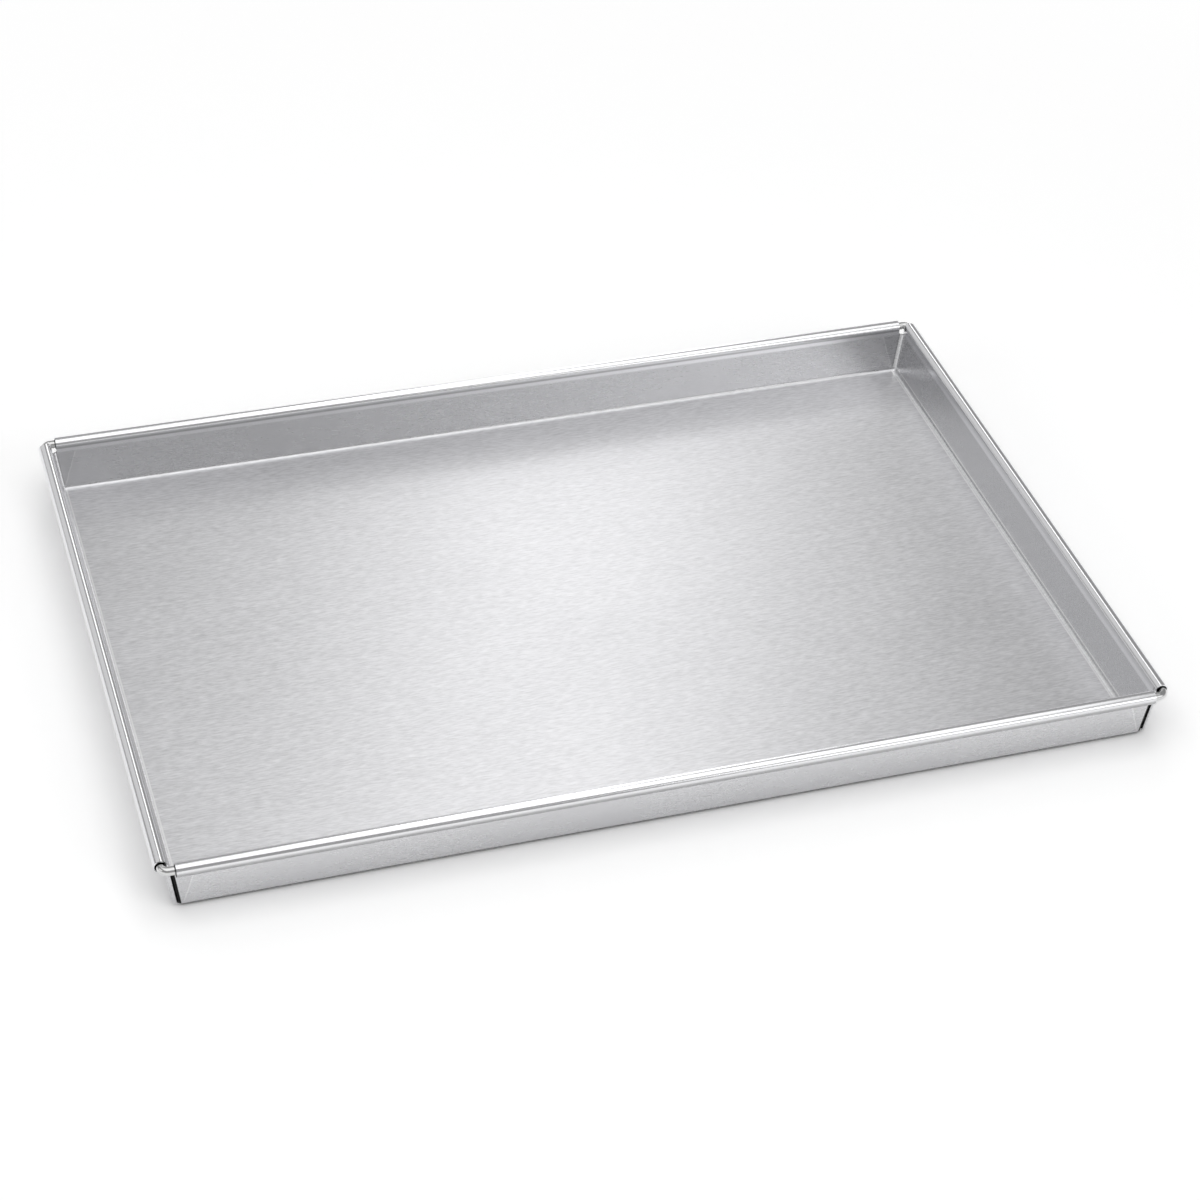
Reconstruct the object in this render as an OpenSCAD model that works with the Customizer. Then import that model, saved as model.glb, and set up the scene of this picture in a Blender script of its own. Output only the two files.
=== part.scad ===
/* [Pan] */

// length over the rolled rims of the two short walls
rim_length = 438; // [380:1:480]
// width over the rolled rims of the two long walls
rim_width = 305; // [260:1:340]
// height from the table to the top of the rolled rim
pan_height = 26.5; // [24:0.5:38]

/* [Walls] */

// outward lean of the two short walls, degrees from upright
short_wall_lean = 7.4; // [4:0.2:12]
// outward lean of the two long walls, degrees from upright
long_wall_lean = 3.1; // [1:0.1:8]
// inside radius of every bend, at the foot of the walls and up the corners
bend_radius = 1.8; // [1.4:0.1:2.6]

/* [Sheet] */

// thickness of the sheet that the whole pan is folded from
sheet = 0.6; // [0.5:0.05:0.8]

/* [Rim wire] */

// diameter of the steel wire inside the rim
wire_diameter = 3.8; // [3:0.1:5]
// clearance all round between the wire and the bore of the rolled rim
wire_clearance = 0.5; // [0.35:0.05:0.8]
// centre-line radius of the wire elbow at each corner
elbow_radius = 3; // [2.6:0.1:4]
// gap between the two butted ends of the wire, hidden in the back rim
wire_joint = 0.6; // [0.3:0.1:2]

/* [Rolled rim] */

// part of a turn, in degrees, left open under the roll beside the wall
roll_opening = 50; // [46:1:70]
// distance the long rims stop short of the wire of the short sides
long_roll_stop = 5.3; // [4.6:0.1:8]
// distance the short rims stop short of the wire of the long sides
short_roll_stop = 3.3; // [2.9:0.1:6]
// how far below the wire line the corners of the sheet are cut away
corner_notch = 2.5; // [2:0.1:4]

/* [Folded corners] */

// space between a short wall and the doubled sheet folded over it
ear_space = 0.2; // [0.15:0.05:0.4]
// reach of the fold along the short wall, at the top of the fold
ear_reach = 19; // [12:1:30]
// reach of the fold along the short wall, at its foot
ear_foot = 2.4; // [2:0.2:5]
// angle round the corner, from the short wall, at which the fold ends
ear_wrap = 39.5; // [25:0.5:50]
// gap between the top of the fold and the underside of the rolled rim
ear_headroom = 0.3; // [0.3:0.1:1]
// height of the sill that closes the mouth of the fold at its foot
ear_sill = 0.8; // [0.7:0.1:2]

/* [Hidden] */

wire_radius = wire_diameter / 2;
bore_radius = wire_radius + wire_clearance;
roll_radius = bore_radius + sheet;

// height of the centre line of the rim wire
wire_z = pan_height - roll_radius;

// the bends turn about the edges of the core, which is the inside of the pan
// shrunk by the bend radius on every face
core_foot = sheet + bend_radius;
core_x = hundredths(rim_length / 2 - roll_radius - core_inset(short_wall_lean));
core_y = hundredths(rim_width / 2 - roll_radius - core_inset(long_wall_lean));

// centre line of the rim wire
wire_x = hundredths(core_x + core_inset(short_wall_lean));
wire_y = hundredths(core_y + core_inset(long_wall_lean));

// layers, as distances out from the core
skin_in = bend_radius;
skin_out = skin_in + sheet;
ear_in = skin_out + ear_space;
ear_out = ear_in + 2 * sheet;

// distance up each wall's slope from the foot of the core
short_rise = hundredths(wall_rise(wire_x - core_x, short_wall_lean));
long_rise = hundredths(wall_rise(wire_y - core_y, long_wall_lean));
ear_slope = short_rise - roll_radius - ear_headroom;

// direction of the upright corner line of the core
corner_run = [tan(short_wall_lean), tan(long_wall_lean), 1];
corner_tilt = acos(1 / norm(corner_run));
corner_turn = atan2(corner_run[1], corner_run[0]);
corner_span = acos(sin(short_wall_lean) * sin(long_wall_lean));

// distance up the corner line for each step up the short wall's slope
corner_gain = norm(corner_run) * cos(short_wall_lean);
corner_top = min(short_rise * cos(short_wall_lean), long_rise * cos(long_wall_lean));
corner_length = (corner_top - corner_notch) * norm(corner_run) - sheet / 2;

// how far each rolled rim runs on past the foot of the corner line
short_rim_run = wire_y - short_roll_stop - core_y;
long_rim_run = wire_x - long_roll_stop - core_x;

// sideways drift of the corner line for each step up a wall's slope
short_drift = cos(short_wall_lean) * tan(long_wall_lean);
long_drift = cos(long_wall_lean) * tan(short_wall_lean);

// direction of the short wall's outward face, seen along the corner line
wall_turn = atan2(
    -sin(corner_turn) * cos(short_wall_lean),
    cos(short_wall_lean) * cos(corner_tilt) * cos(corner_turn)
        + sin(short_wall_lean) * sin(corner_tilt)
);

// how far one part of the folded sheet laps into the next, along it and as an
// angle round a bend, and how much thinner the sheet is on each side of a bend
lap = 0.1;
lap_angle = 4;
thinning = 0.01;

// width of the crease where the doubled sheet turns back on itself
ear_crease = 1.6 * sheet;

sheet_color = [0.80, 0.80, 0.81];
wire_color = [0.70, 0.70, 0.71];

$fn = 96;

// Which piece to draw

// distance from the wire line in to the foot of the core, for a wall that leans
function core_inset(lean) =
    (roll_radius + bend_radius) / cos(lean) + (wire_z - core_foot) * tan(lean);

// distance up a leaning wall from the foot of the core to the wire line
function wall_rise(run, lean) =
    run * sin(lean) + (wire_z - core_foot) * cos(lean);

function hundredths(d) = round(100 * d) / 100;

function polar(r, a) = [r * cos(a), r * sin(a)];

// repeats a shape at the four corners of the pan
module four_corners() {
    for (mx = [0, 1], my = [0, 1])
        mirror([mx, 0, 0])
            mirror([0, my, 0])
                children();
}

module both_short_sides() {
    for (m = [0, 1])
        mirror([m, 0, 0])
            children();
}

module both_long_sides() {
    for (m = [0, 1])
        mirror([0, m, 0])
            children();
}

// stands a shape on the corner line of the core, its x facing out of the short wall
module on_corner_line() {
    translate([core_x, core_y, core_foot])
        rotate([0, corner_tilt, corner_turn])
            rotate([0, 0, wall_turn])
                children();
}

// lays a shape on a leaning face of the core: x runs along the wall, y up its
// slope and z out through it; zero is at the foot, in the middle or at the corner
module on_short_wall(corner = 0) {
    translate([core_x, corner * core_y, core_foot])
        rotate([0, short_wall_lean, 0])
            rotate([90, 0, 90])
                children();
}

module on_long_wall() {
    translate([0, core_y, core_foot])
        rotate([-long_wall_lean, 0, 0])
            rotate([90, 0, 180])
                children();
}

// cross-section of a rolled rim, with the strip of wall that carries it
module rim_section(rise) {
    far = 3 * roll_radius;
    translate([rise, skin_in + roll_radius]) {
        difference() {
            circle(r = roll_radius);
            circle(r = bore_radius);
            polygon([
                [0, 0],
                polar(far, 270 - roll_opening),
                polar(far, 270 - roll_opening / 2),
                polar(far, 270)
            ]);
        }
        translate([-corner_notch, -roll_radius])
            square([corner_notch, sheet]);
    }
}

// flat panel of one wall and the rolled rim above it
module wall(half_foot, rise, drift, rim_run) {
    slope = rise - corner_notch;
    half_base = half_foot + lap / 2;
    half_top = half_base + slope * drift;
    translate([0, 0, skin_in])
        linear_extrude(height = sheet)
            polygon([
                [-half_base, lap / 2],
                [half_base, lap / 2],
                [half_top, slope],
                [-half_top, slope]
            ]);
    rotate([90, 0, 90])
        linear_extrude(height = 2 * (half_foot + rim_run), center = true)
            rim_section(rise);
}

// part of a turn of sheet about an upright axis, its ends lapping into the flats
module bend(inner, outer, angle, low, high) {
    rotate([0, 0, -lap_angle])
        rotate_extrude(angle = angle + 2 * lap_angle)
            translate([inner, low])
                square([outer - inner, high - low]);
}

// bend along the foot of a wall, lying on its own axis
module foot_bend(half_foot, lean) {
    bend(skin_in + thinning, skin_out - thinning, 90 - lean, -half_foot, half_foot);
}

// rounded upright corner between two walls
module corner_bend() {
    thin = 3 * thinning;
    foot = 2.5 * lap;
    on_corner_line()
        bend(skin_in + thin, skin_out - thin, corner_span, foot, corner_length);
}

// rounded bottom corner, where three bends meet
module corner_ball() {
    room = 2 * skin_out;
    thin = 5 * thinning;
    top = 3.5 * lap;
    translate([core_x, core_y, core_foot])
        intersection() {
            rotate([90, 0, 225])
                difference() {
                    sphere(r = skin_out - thin);
                    sphere(r = skin_in + thin);
                }
            translate([0, 0, -room])
                cube([room, room, 2 * room]);
            rotate([0, corner_tilt, corner_turn])
                translate([-room, -room, top - 2 * room])
                    cube([2 * room, 2 * room, 2 * room]);
        }
}

// floor, four walls with their rims, and the bends between them
module tub() {
    translate([-core_x - lap, -core_y - lap, 0])
        cube([2 * (core_x + lap), 2 * (core_y + lap), sheet]);
    both_short_sides() {
        on_short_wall()
            wall(core_y, short_rise, short_drift, short_rim_run);
        translate([core_x, 0, core_foot])
            rotate([90, 90, 0])
                foot_bend(core_y, short_wall_lean);
    }
    both_long_sides() {
        on_long_wall()
            wall(core_x, long_rise, long_drift, long_rim_run);
        translate([0, core_y, core_foot])
            rotate([0, 90, 0])
                foot_bend(core_x, long_wall_lean);
    }
    four_corners() {
        corner_bend();
        corner_ball();
    }
}

// two thicknesses of sheet folded flat over the end of a short wall, the crease
// where they turn back, and the rounded edge beside the dark mouth of the fold
module ear() {
    lean_in = ear_slope * short_drift;
    wrap_angle = ear_wrap - lap_angle;
    wrap_foot = lap / 2;
    wrap_top = ear_slope * corner_gain - lap;
    sill_foot = 4 * lap;
    sill_top = ear_sill * corner_gain - lap;
    on_short_wall(1) {
        translate([0, 0, ear_in])
            linear_extrude(height = ear_out - ear_in)
                polygon([
                    [-ear_foot, 0],
                    [lap / 2, 0],
                    [lean_in + lap / 2, ear_slope],
                    [lean_in - ear_reach, ear_slope]
                ]);
        translate([0, 0, skin_out - lap])
            linear_extrude(height = ear_space + 2 * lap)
                polygon([
                    [-ear_foot, sill_foot],
                    [lap / 2, sill_foot],
                    [ear_sill * short_drift + lap / 2, ear_sill],
                    [ear_crease - ear_foot, ear_sill],
                    [lean_in - ear_reach + ear_crease, ear_slope],
                    [lean_in - ear_reach, ear_slope]
                ]);
    }
    on_corner_line() {
        bend(ear_in + thinning, ear_out - thinning, wrap_angle, wrap_foot, wrap_top);
        bend(skin_out - lap, ear_in + lap, wrap_angle, sill_foot + lap, sill_top);
        rotate([0, 0, ear_wrap])
            translate([ear_out - sheet, 0, wrap_foot])
                cylinder(r = sheet, h = wrap_top - wrap_foot);
    }
}

module pan_sheet() {
    color(sheet_color) {
        tub();
        four_corners()
            ear();
    }
}

module wire_rod(length) {
    cylinder(r = wire_radius, h = length, center = true);
}

// one rod bent round the whole rim, its ends butting in the back rim
module rim_wire() {
    half_x = wire_x - elbow_radius;
    half_y = wire_y - elbow_radius;
    color(wire_color)
    difference() {
        translate([0, 0, wire_z]) {
            both_short_sides()
                translate([wire_x, 0, 0])
                    rotate([90, 0, 0])
                        wire_rod(2 * half_y);
            both_long_sides()
                translate([0, wire_y, 0])
                    rotate([0, 90, 0])
                        wire_rod(2 * half_x);
            four_corners()
                translate([half_x, half_y, 0])
                    rotate_extrude(angle = 90)
                        translate([elbow_radius, 0])
                            circle(r = wire_radius);
        }
        translate([0, wire_y, wire_z])
            cube([wire_joint, 2 * wire_diameter, 2 * wire_diameter], center = true);
    }
}

pan_sheet();
rim_wire();
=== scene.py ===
"""Looks of a folded sheet pan with a wire in its rolled rim.

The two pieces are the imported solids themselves.  This script gives them their
metal finishes, and adds the camera, the lamps and a plain white table.
"""

import math

import bmesh
import bpy
from mathutils import Matrix, Vector

MM = 0.001

# Sizes of the pan that its finish follows, in millimetres from its middle.
FOOT_X = 208.42  # inside foot line of the short walls
FOOT_Y = 143.55  # inside foot line of the long walls
FOOT_Z = 2.4  # height of the centre of the bend at the foot
SHORT_LEAN = math.radians(7.4)  # outward lean of the short walls
LONG_LEAN = math.radians(3.1)  # outward lean of the long walls
WIRE_X = 216.0  # centre line of the wire in the short rims
WIRE_Y = 149.5  # centre line of the wire in the long rims
WIRE_Z = 23.5  # height of the centre line of the wire
BORE = 2.5  # just over the radius of the bore round the wire
BORE_EDGE = 0.06  # over which the bore's finish gives way to the roll's
LONG_MOUTH = 210.7  # where the rolls of the long walls end
SHORT_MOUTH = 146.2  # where the rolls of the short walls end

# The slack crease on each long wall: where it starts at the foot, how far it
# comes in for each millimetre up, and how far it wavers.
CREASE_INSET = 0.5
CREASE_FOOT_Z = 2.0
CREASE_SLOPE = 0.31
CREASE_WAVER = 1.2

# Painted highlights, as bright lines: inwards from the foot line, up the wall, and
# below the wire.
FLOOR_LINE_INSET = 0.5
WALL_LINE_Z = 2.5
ROLL_LINE_DROP = 1.9

# Ramps that the masks share, in millimetres: 0 at the first and 1 at the second.
FLOOR_HEIGHTS = (1.4, 0.9)
ROLL_HEIGHTS = (20.3, 21.2)
ROLL_REACH = (3.3, 3.1)  # distance from the wire's centre line
BEND_REACH = (1.95, 1.9)  # distance from the line that a corner bends about
MOUTH_SHADE = (0.6, 0.2)  # distance along the wire from the mouth of a roll

# Strokes or clouds of each finish to a metre, along x, y and z.
FINE_GRAIN = (230, 1250, 1250)
LONG_GRAIN = (28, 520, 520)
SHEET_CLOUDS = (11, 11, 11)
CREASE_WAVES = (260, 260, 260)
WIRE_GRAIN = (260, 260, 1500)
WIRE_CLOUDS = (40, 40, 40)
TABLE_SPECKS = (60, 60, 60)

# Shares of the fine and the long strokes in the sheet's grain.
FINE_SHARE = 0.85
LONG_SHARE = 0.15

# How much the grain and the clouds show in each metal's colour.
GRAIN_TONE = 0.35
FLOOR_GRAIN_TONE = 1.6  # more on the floor
CLOUD_TONE = 0.16
WIRE_GRAIN_TONE = 0.8
WIRE_CLOUD_TONE = 0.5

# Depth of the grain, in metres.
SHEET_GRAIN_DEPTH = 0.000005
WIRE_GRAIN_DEPTH = 0.00001

# Greys, and pairs of greys that a finish varies between.
FLAT_GREYS = (0.63, 0.94)
# The rolled rim's greys are lighter than the flats': a painted sheen.
ROLL_SHEEN_GREYS = (0.81, 0.95)
SHEET_BLUE = 0.02
WIRE_GREYS = (0.58, 0.72)
LIT_EDGE = 0.99
SHADE = 0.20
SHADE_AT_TABLE = 0.07
SHADE_ON_WIRE = 0.05
# Painted shade in the hollows: the fold mouths and the bore round the wire.
HOLLOW_SHADE = 0.012
TABLE_GREYS = (0.89, 0.91)
TABLE_SHOWN = 1.32  # to the camera and in the metal, where the lamps make it white
ROOM = 0.33
WHITE = 1.0

# How far parts of the sheet go towards the shade or towards the lit edge.
WALL_SHADE = 0.16
SLACK_SHADE = 0.24
BEND_EDGE_SHADE = 0.5
SHORT_ROLL_SHADE = 0.14
UNDER_SHORT_ROLL = 0.5
UNDER_LONG_ROLL_OUTSIDE = 0.64
UNDER_LONG_ROLL_INSIDE = 0.55
CREASE_LIGHT = 0.35
ROLL_LINE_LIGHT = 0.6

# Roughness of each metal, and what changes it.
SHEET_ROUGHNESS = 0.27
FLOOR_ROUGHER = 0.11
ROLLS_SMOOTHER = 0.09
GRAIN_ROUGHNESS = 0.10
SHEET_CLOUD_ROUGHNESS = 0.08
WIRE_ROUGHNESS = 0.20
WIRE_CLOUD_ROUGHNESS = 0.10

# The sockets for colours on a Mix node, which has others of the same names.
MIX_SHARE, MIX_FIRST, MIX_SECOND, MIX_RESULT = 0, 6, 7, 2

# The camera's place in metres, its angles in degrees, and its lens in millimetres.
CAMERA_PLACE = (-0.3335, -1.0198, 0.8417)
CAMERA_TURN = -18.612
CAMERA_RISE = 37.973
CAMERA_ROLL = 2.622
LENS = 90.68
SENSOR = 36.0

# Each lamp's name, place and aim, its width and height, and its brightness.
LAMPS = (
    ("overhead_lamp", (-0.12, -0.4, 1.75), (-0.12, -0.4, 0), 2.2, 2.0, 1.02),
    ("back_lamp", (-0.95, 2.0, 1.6), (0, 0, 0), 1.6, 2.2, 0.42),
    ("tall_lamp", (0.55, 1.75, 1.5), (0, 0, 0), 0.38, 2.6, 1.7),
    ("front_lamp", (1.5, -2.15, 1.3), (0, 0, 0), 1.6, 1.2, 1.3),
    ("left_lamp", (-2.0, -0.2, 0.9), (0, 0, 0), 1.2, 1.0, 0.8),
)

TABLE_REACH = 9.0  # from its middle to its edges, in metres
TABLE_DROP = 0.0002  # below the pan's underside, in metres
TABLE_FADE = (330.0, 800.0)  # millimetres from the middle, beyond the shadow
HORIZON = (0.2, 0.05)  # rise over which the room gives way to the white background


class Socket:
    """One output of a shader node, with ordinary arithmetic on it."""

    def __init__(self, nodes, output):
        self.nodes = nodes
        self.output = output

    def make(self, kind, settings=None, inputs=None, output=0):
        """Adds a node of that kind: its settings first, then its inputs."""
        node = self.nodes.new(kind)
        for name, value in (settings or {}).items():
            setattr(node, name, value)
        links = node.id_data.links
        for name, value in (inputs or {}).items():
            if isinstance(value, Socket):
                links.new(value.output, node.inputs[name])
            else:
                node.inputs[name].default_value = value
        return Socket(self.nodes, node.outputs[output])

    def math(self, operation, *values):
        inputs = dict(enumerate(values))
        return self.make("ShaderNodeMath", {"operation": operation}, inputs)

    def __add__(self, other):
        return self.math("ADD", self, other)

    def __sub__(self, other):
        return self.math("SUBTRACT", self, other)

    def __rsub__(self, other):
        return self.math("SUBTRACT", other, self)

    def __mul__(self, other):
        return self.math("MULTIPLY", self, other)

    def __abs__(self):
        return self.math("ABSOLUTE", self)

    def smaller(self, other):
        return self.math("MINIMUM", self, other)

    def larger(self, other):
        return self.math("MAXIMUM", self, other)

    def root(self):
        return self.math("SQRT", self)

    def ramp(self, low, high):
        """0 below low, 1 above high, and smooth between; high may be the smaller."""
        settings = {"interpolation_type": "SMOOTHSTEP"}
        if low <= high:
            ends = {"From Min": low, "From Max": high, "To Min": 0.0, "To Max": 1.0}
        else:
            ends = {"From Min": high, "From Max": low, "To Min": 1.0, "To Max": 0.0}
        return self.make("ShaderNodeMapRange", settings, {"Value": self, **ends})

    def blend(self, first, second):
        """The colour first where this is 0 and second where it is 1."""
        inputs = {MIX_SHARE: self, MIX_FIRST: first, MIX_SECOND: second}
        return self.make("ShaderNodeMix", {"data_type": "RGBA"}, inputs, MIX_RESULT)


def length(across, along):
    """The distance made up of two parts at right angles."""
    return (across * across + along * along).root()


def grey(value, blue=0.0):
    """A near-neutral grey; blue is the share of blue above its red and green."""
    return (value, value, value * (1 + blue), 1.0)


def vary(tone, greys, blue=0.0):
    """The first of two greys where the tone is 0, and the second where it is 1."""
    dark, light = greys
    return tone.blend(grey(dark, blue), grey(light, blue))


def empty_material(name):
    """A material with only its output, and the place on the object as a socket."""
    material = bpy.data.materials.new(name)
    material.use_nodes = True
    nodes = material.node_tree.nodes
    nodes.clear()
    output = nodes.new("ShaderNodeOutputMaterial")
    coordinates = nodes.new("ShaderNodeTexCoord")
    return material, output, Socket(nodes, coordinates.outputs["Object"])


def end_material(material, output, shader):
    """Makes the shader the material's surface."""
    material.node_tree.links.new(shader.output, output.inputs["Surface"])
    return material


def axis(place, letter):
    """One part of a place, in millimetres."""
    split = place.make("ShaderNodeSeparateXYZ", None, {"Vector": place}, letter)
    return split * (1 / MM)


def noise(place, per_metre, detail=2.0):
    """Soft noise about 0.5, with that many strokes to a metre along each axis."""
    inputs = {"Vector": place, "Scale": per_metre}
    spread = place.make("ShaderNodeMapping", {"vector_type": "POINT"}, inputs)
    inputs = {"Vector": spread, "Scale": 1.0, "Detail": detail, "Roughness": 0.6}
    return place.make("ShaderNodeTexNoise", None, inputs)


def ray_kinds(nodes):
    """1 on rays from the camera, and 1 on rays that the metal mirrors."""
    rays = nodes.new("ShaderNodeLightPath").outputs
    return Socket(nodes, rays["Is Camera Ray"]), Socket(nodes, rays["Is Glossy Ray"])


def metal(place, colour, roughness, grain, depth):
    """A metal whose brushed grain is a shallow bump of that depth, in metres."""
    inputs = {"Strength": 1.0, "Distance": depth, "Height": grain}
    normal = place.make("ShaderNodeBump", None, inputs)
    inputs = {
        "Base Color": colour,
        "Metallic": 1.0,
        "Roughness": roughness,
        "Normal": normal,
    }
    return place.make("ShaderNodeBsdfPrincipled", None, inputs)


class PanPlace:
    """Where a point of the sheet lies, in millimetres, as sockets.

    The pan is alike on both sides of its middle, so x and y are taken without
    their signs and grow outwards.
    """

    def __init__(self, place):
        self.x = abs(axis(place, "X"))
        self.y = abs(axis(place, "Y"))
        self.z = axis(place, "Z")
        self.floor = self.z.ramp(*FLOOR_HEIGHTS)
        self.rolled = self.z.ramp(*ROLL_HEIGHTS)

        # Outwards from the leaning lines that the corners bend about.
        self.up = self.z - FOOT_Z
        self.past_short = self.x - FOOT_X - self.up * math.tan(SHORT_LEAN)
        self.past_long = self.y - FOOT_Y - self.up * math.tan(LONG_LEAN)
        self.from_bend = length(self.past_short, self.past_long.larger(0.0))

        # Outwards and upwards from the centre line of the wire.
        self.wire_x = self.x - WIRE_X
        self.wire_y = self.y - WIRE_Y
        self.wire_z = self.z - WIRE_Z
        self.from_short_wire = length(self.wire_x, self.wire_z)
        self.from_long_wire = length(self.wire_y, self.wire_z)
        self.on_short_roll = self.from_short_wire.ramp(*ROLL_REACH)
        self.on_long_roll = self.from_long_wire.ramp(*ROLL_REACH)


# The masks of the sheet.  The two numbers of each ramp are in millimetres, and
# lie where one face of the sheet, or one part of it, gives way to the next.


def fold_mouth(at):
    """1 on the faces between a short wall and the sheet folded over it, painted near
    black as shade.
    """
    between_layers = at.from_bend.ramp(2.05, 2.15) * at.from_bend.ramp(2.68, 2.6)
    beside_corner = at.past_short.ramp(0.15, 0.4) * at.past_long.ramp(-1.2, -0.8)
    up_the_corner = at.z.ramp(1.5, 2.0) * at.z.ramp(21.4, 21.0)
    return between_layers * beside_corner * up_the_corner


def wire_bore(at):
    """1 on the inside of the rolls, painted near black as shade."""
    nearest = at.from_short_wire.smaller(at.from_long_wire)
    return nearest.ramp(BORE, BORE - BORE_EDGE)


def slack_corner(place, at):
    """The slack corner of each long wall, painted in shade, and the crease along its
    edge, painted as a highlight.

    The crease wavers from the foot of the corner up and inwards.
    """
    waver = (noise(place, CREASE_WAVES) - 0.5) * CREASE_WAVER
    inset = (at.z - CREASE_FOOT_Z) * CREASE_SLOPE + CREASE_INSET
    across = at.x - FOOT_X + inset + waver
    on_wall = at.past_long.ramp(0.6, 1.0) * at.z.ramp(2.4, 3.4) * (1.0 - at.rolled)
    slack = across.ramp(-0.15, 0.25) * on_wall
    crease = abs(across).ramp(0.45, 0.1) * on_wall
    return slack, crease


def corner_bend(at):
    """The bent corner inside the pan, painted as a highlight, and the edges along
    its two sides, painted in shade.
    """
    inside = at.from_bend.ramp(*BEND_REACH)
    middle = at.past_short.ramp(0.3, 0.55) * at.past_long.ramp(0.3, 0.55) * inside
    near = at.past_short.ramp(-0.5, -0.1) * at.past_long.ramp(-0.5, -0.1) * inside
    bend = middle * at.z.ramp(1.5, 3.0)
    edges = near * at.z.ramp(1.8, 3.0) * (1.0 - middle)
    return bend, edges


def foot_lines(at):
    """Painted highlights: the bright lines on both sides of the bend at the foot of
    a short wall.
    """
    out = at.x - FOOT_X
    on_floor = abs(out + FLOOR_LINE_INSET).ramp(0.45, 0.2) * at.z.ramp(0.8, 0.7)
    on_wall = abs(at.z - WALL_LINE_Z).ramp(0.4, 0.15)
    inner_face = out.ramp(1.0, 1.3) * out.ramp(2.2, 2.0)
    return on_floor.larger(on_wall * inner_face)


def roll_line(at):
    """The lit line where a short wall turns into its roll."""
    inner_side = at.wire_x.ramp(-1.4, -1.9) * at.on_short_roll
    return abs(at.wire_z + ROLL_LINE_DROP).ramp(0.5, 0.15) * inner_side


def under_rolls(at):
    """How far the undersides of the rolls go towards the shade."""
    outside = at.wire_z.ramp(1.3, -0.7) * at.wire_y.ramp(0.5, 1.5)
    inside = at.wire_z.ramp(0.6, -0.4) * at.wire_y.ramp(-0.3, -1.0)
    under_short = at.wire_z.ramp(-0.2, -1.7) * at.wire_x.ramp(-1.0, 0.0)
    outside = outside * (1.0 - at.on_short_roll) * UNDER_LONG_ROLL_OUTSIDE
    inside = inside * at.on_long_roll * UNDER_LONG_ROLL_INSIDE
    short = (under_short * UNDER_SHORT_ROLL + SHORT_ROLL_SHADE) * at.on_short_roll
    return at.rolled * outside.larger(inside).larger(short)


def under_foot(at):
    """1 on the outside of the bend at the foot, low down beside the table, where
    shade is painted.
    """
    out = (at.y - FOOT_Y).larger(at.x - FOOT_X).larger(0.0)
    outside = length(out, at.up).ramp(2.05, 2.2)
    return at.z.ramp(2.0, 0.9) * outside * out.ramp(0.2, 0.6)


def sheet_finish():
    """Aluminium brushed along the pan, painted lighter where the rim is rolled as a
    sheen, with painted highlights and shade.
    """
    material, output, place = empty_material("brushed_sheet")
    at = PanPlace(place)
    fine = noise(place, FINE_GRAIN, 3.0) * FINE_SHARE
    grain = fine + noise(place, LONG_GRAIN) * LONG_SHARE
    cloud = noise(place, SHEET_CLOUDS)

    streaks = (grain - 0.5) * (at.floor * FLOOR_GRAIN_TONE + GRAIN_TONE)
    tone = streaks + (cloud - 0.5) * CLOUD_TONE + 0.5
    flat = vary(tone, FLAT_GREYS, SHEET_BLUE)
    # Lighter greys on the rolled rim: a painted sheen.
    plain = at.rolled.blend(flat, vary(tone, ROLL_SHEEN_GREYS, SHEET_BLUE))

    slack, crease = slack_corner(place, at)
    bend, bend_edges = corner_bend(at)
    on_walls = (1.0 - at.rolled) * (1.0 - at.floor)
    # Painted shade on the walls, the slack corners and the edges of the corner
    # bends; painted highlights on the bends, the lines at the foot and the creases.
    painted_shade = (on_walls * WALL_SHADE).larger(slack * SLACK_SHADE)
    painted_shade = painted_shade.larger(bend_edges * BEND_EDGE_SHADE)
    lit = bend.larger(foot_lines(at)).larger(crease * CREASE_LIGHT)
    # Painted shade in the hollows: the mouth of each fold and the bore round the
    # wire.
    painted_hollow_shade = fold_mouth(at).larger(wire_bore(at))

    colour = painted_shade.blend(plain, grey(SHADE))
    colour = lit.blend(colour, grey(LIT_EDGE))
    colour = under_rolls(at).blend(colour, grey(SHADE))
    colour = under_foot(at).blend(colour, grey(SHADE_AT_TABLE))
    colour = (roll_line(at) * ROLL_LINE_LIGHT).blend(colour, grey(LIT_EDGE))
    colour = painted_hollow_shade.blend(colour, grey(HOLLOW_SHADE))

    roughness = (grain - 0.5) * GRAIN_ROUGHNESS + SHEET_ROUGHNESS
    roughness = roughness + (cloud - 0.5) * SHEET_CLOUD_ROUGHNESS
    roughness = roughness + at.floor * FLOOR_ROUGHER - at.rolled * ROLLS_SMOOTHER
    shader = metal(place, colour, roughness, grain, SHEET_GRAIN_DEPTH)
    return end_material(material, output, shader)


def wire_finish():
    """Drawn steel wire, a little darker and smoother than the sheet."""
    material, output, place = empty_material("drawn_wire")
    grain = noise(place, WIRE_GRAIN, 3.0)
    cloud = noise(place, WIRE_CLOUDS)
    streaks = (grain - 0.5) * WIRE_GRAIN_TONE
    tone = streaks + (cloud - 0.5) * WIRE_CLOUD_TONE + 0.5

    # The wire is in shade where it runs into the two rolls at each corner.
    out_of_long = abs(axis(place, "X")) - LONG_MOUTH
    out_of_short = abs(axis(place, "Y")) - SHORT_MOUTH
    shaded = out_of_long.smaller(out_of_short).ramp(*MOUTH_SHADE)
    colour = shaded.blend(vary(tone, WIRE_GREYS), grey(SHADE_ON_WIRE))
    roughness = (cloud - 0.5) * WIRE_CLOUD_ROUGHNESS + WIRE_ROUGHNESS
    shader = metal(place, colour, roughness, grain, WIRE_GRAIN_DEPTH)
    return end_material(material, output, shader)


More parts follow.
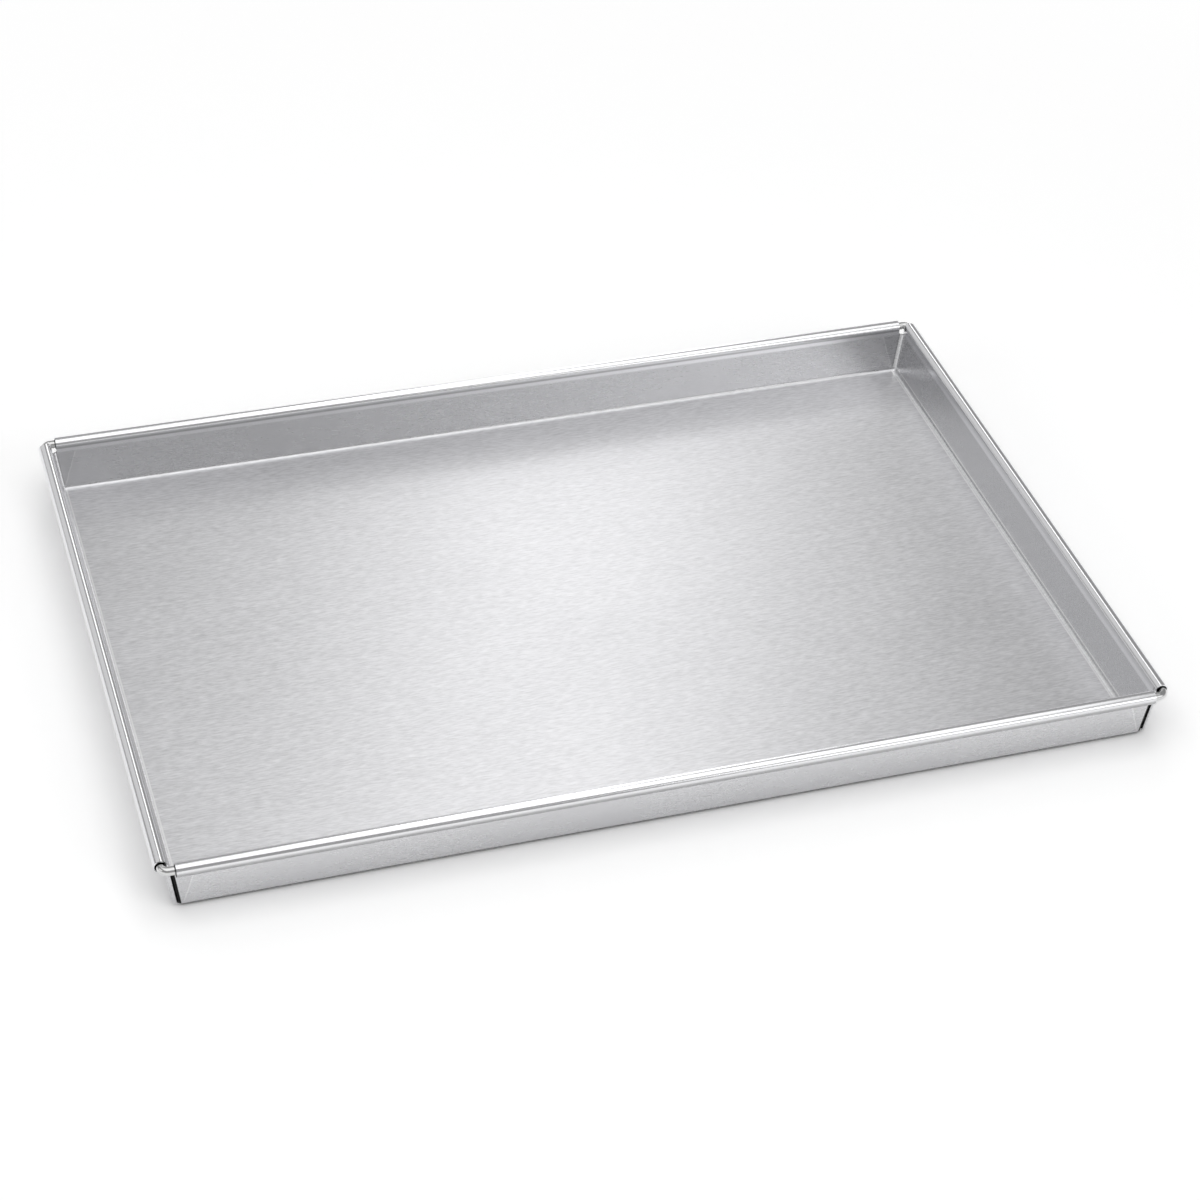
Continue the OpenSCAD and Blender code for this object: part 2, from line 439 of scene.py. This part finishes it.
def table_finish():
    """White table: shown white, and keeping the pan's soft shadow."""
    material, output, place = empty_material("white_table")
    own = vary(noise(place, TABLE_SPECKS), TABLE_GREYS)
    seen, mirrored = ray_kinds(place.nodes)
    shown = seen.larger(mirrored)
    inputs = {"Color": shown.blend(own, grey(TABLE_SHOWN)), "Roughness": 0.5}
    matt = place.make("ShaderNodeBsdfDiffuse", None, inputs)

    # Away from the pan and its shadow, the table runs into the white background.
    from_middle = length(axis(place, "X"), axis(place, "Y"))
    away = from_middle.ramp(*TABLE_FADE) * shown
    inputs = {"Color": grey(WHITE), "Strength": 1.0}
    white = place.make("ShaderNodeEmission", None, inputs)
    shader = place.make("ShaderNodeMixShader", None, {0: away, 1: matt, 2: white})
    return end_material(material, output, shader)


def link(name, data, placed):
    """Adds an object with that data and matrix to the scene."""
    made = bpy.data.objects.new(name, data)
    made.matrix_world = placed
    bpy.context.scene.collection.objects.link(made)
    return made


def give(piece, material):
    """Puts one material in every slot of the piece."""
    for slot in range(len(piece.data.materials)):
        piece.data.materials[slot] = material
    if not piece.data.materials:
        piece.data.materials.append(material)


def add_table():
    """The table that the pan lies on, out to beyond the frame."""
    shape = bmesh.new()
    bmesh.ops.create_grid(shape, x_segments=1, y_segments=1, size=TABLE_REACH)
    mesh = bpy.data.meshes.new("table")
    shape.to_mesh(mesh)
    shape.free()
    mesh.transform(Matrix.Translation((0, 0, -TABLE_DROP)))
    table = link("table", mesh, Matrix())
    give(table, table_finish())


def add_lamp(name, place, aim, width, height, brightness):
    """A soft rectangular lamp that shows at that brightness in a mirror."""
    lamp = bpy.data.lights.new(name, "AREA")
    lamp.shape = "RECTANGLE"
    lamp.size = width
    lamp.size_y = height
    lamp.energy = math.pi * width * height * brightness
    towards = Vector(aim) - Vector(place)
    turn = towards.to_track_quat("-Z", "Y").to_matrix().to_4x4()
    link(name, lamp, Matrix.Translation(place) @ turn)


def add_camera():
    """The camera, looking down on the pan from its front left."""
    angles = (CAMERA_TURN, CAMERA_RISE, CAMERA_ROLL)
    turn, rise, roll = (math.radians(angle) for angle in angles)
    level = Vector((math.cos(turn), math.sin(turn), 0))
    ahead = Vector((-math.sin(turn), math.cos(turn), 0))
    back = Vector((0, 0, math.sin(rise))) - math.cos(rise) * ahead
    upright = back.cross(level)
    right = math.cos(roll) * level + math.sin(roll) * upright
    up = math.cos(roll) * upright - math.sin(roll) * level
    turned = Matrix((right, up, back)).transposed().to_4x4()
    lens = bpy.data.cameras.new("camera")
    lens.sensor_width = SENSOR
    lens.lens = LENS
    camera = link("camera", lens, Matrix.Translation(CAMERA_PLACE) @ turned)
    bpy.context.scene.camera = camera


def add_room():
    """A grey room, with a white background for the camera.

    The metal shows that background too, level with the table.
    """
    world = bpy.data.worlds.new("studio")
    world.use_nodes = True
    nodes = world.node_tree.nodes
    direction = Socket(nodes, nodes.new("ShaderNodeTexCoord").outputs["Generated"])
    rise = direction.make("ShaderNodeSeparateXYZ", None, {"Vector": direction}, "Z")
    seen, mirrored = ray_kinds(nodes)
    shown = seen.larger(mirrored * rise.ramp(*HORIZON))
    colour = shown.blend(grey(ROOM), grey(WHITE))
    background = nodes["Background"]
    world.node_tree.links.new(colour.output, background.inputs["Color"])
    background.inputs["Strength"].default_value = 1.0
    bpy.context.scene.world = world


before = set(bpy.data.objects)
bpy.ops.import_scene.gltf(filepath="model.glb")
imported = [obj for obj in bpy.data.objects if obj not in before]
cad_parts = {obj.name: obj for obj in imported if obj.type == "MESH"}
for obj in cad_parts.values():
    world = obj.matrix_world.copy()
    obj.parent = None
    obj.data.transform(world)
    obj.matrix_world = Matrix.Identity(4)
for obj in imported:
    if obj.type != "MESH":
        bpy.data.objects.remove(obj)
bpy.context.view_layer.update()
bpy.context.scene.view_settings.view_transform = "Standard"
add_camera()

sheet_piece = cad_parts["pan_sheet"]
wire_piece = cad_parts["rim_wire"]
give(sheet_piece, sheet_finish())
give(wire_piece, wire_finish())

add_table()
add_room()
for lamp in LAMPS:
    add_lamp(*lamp)
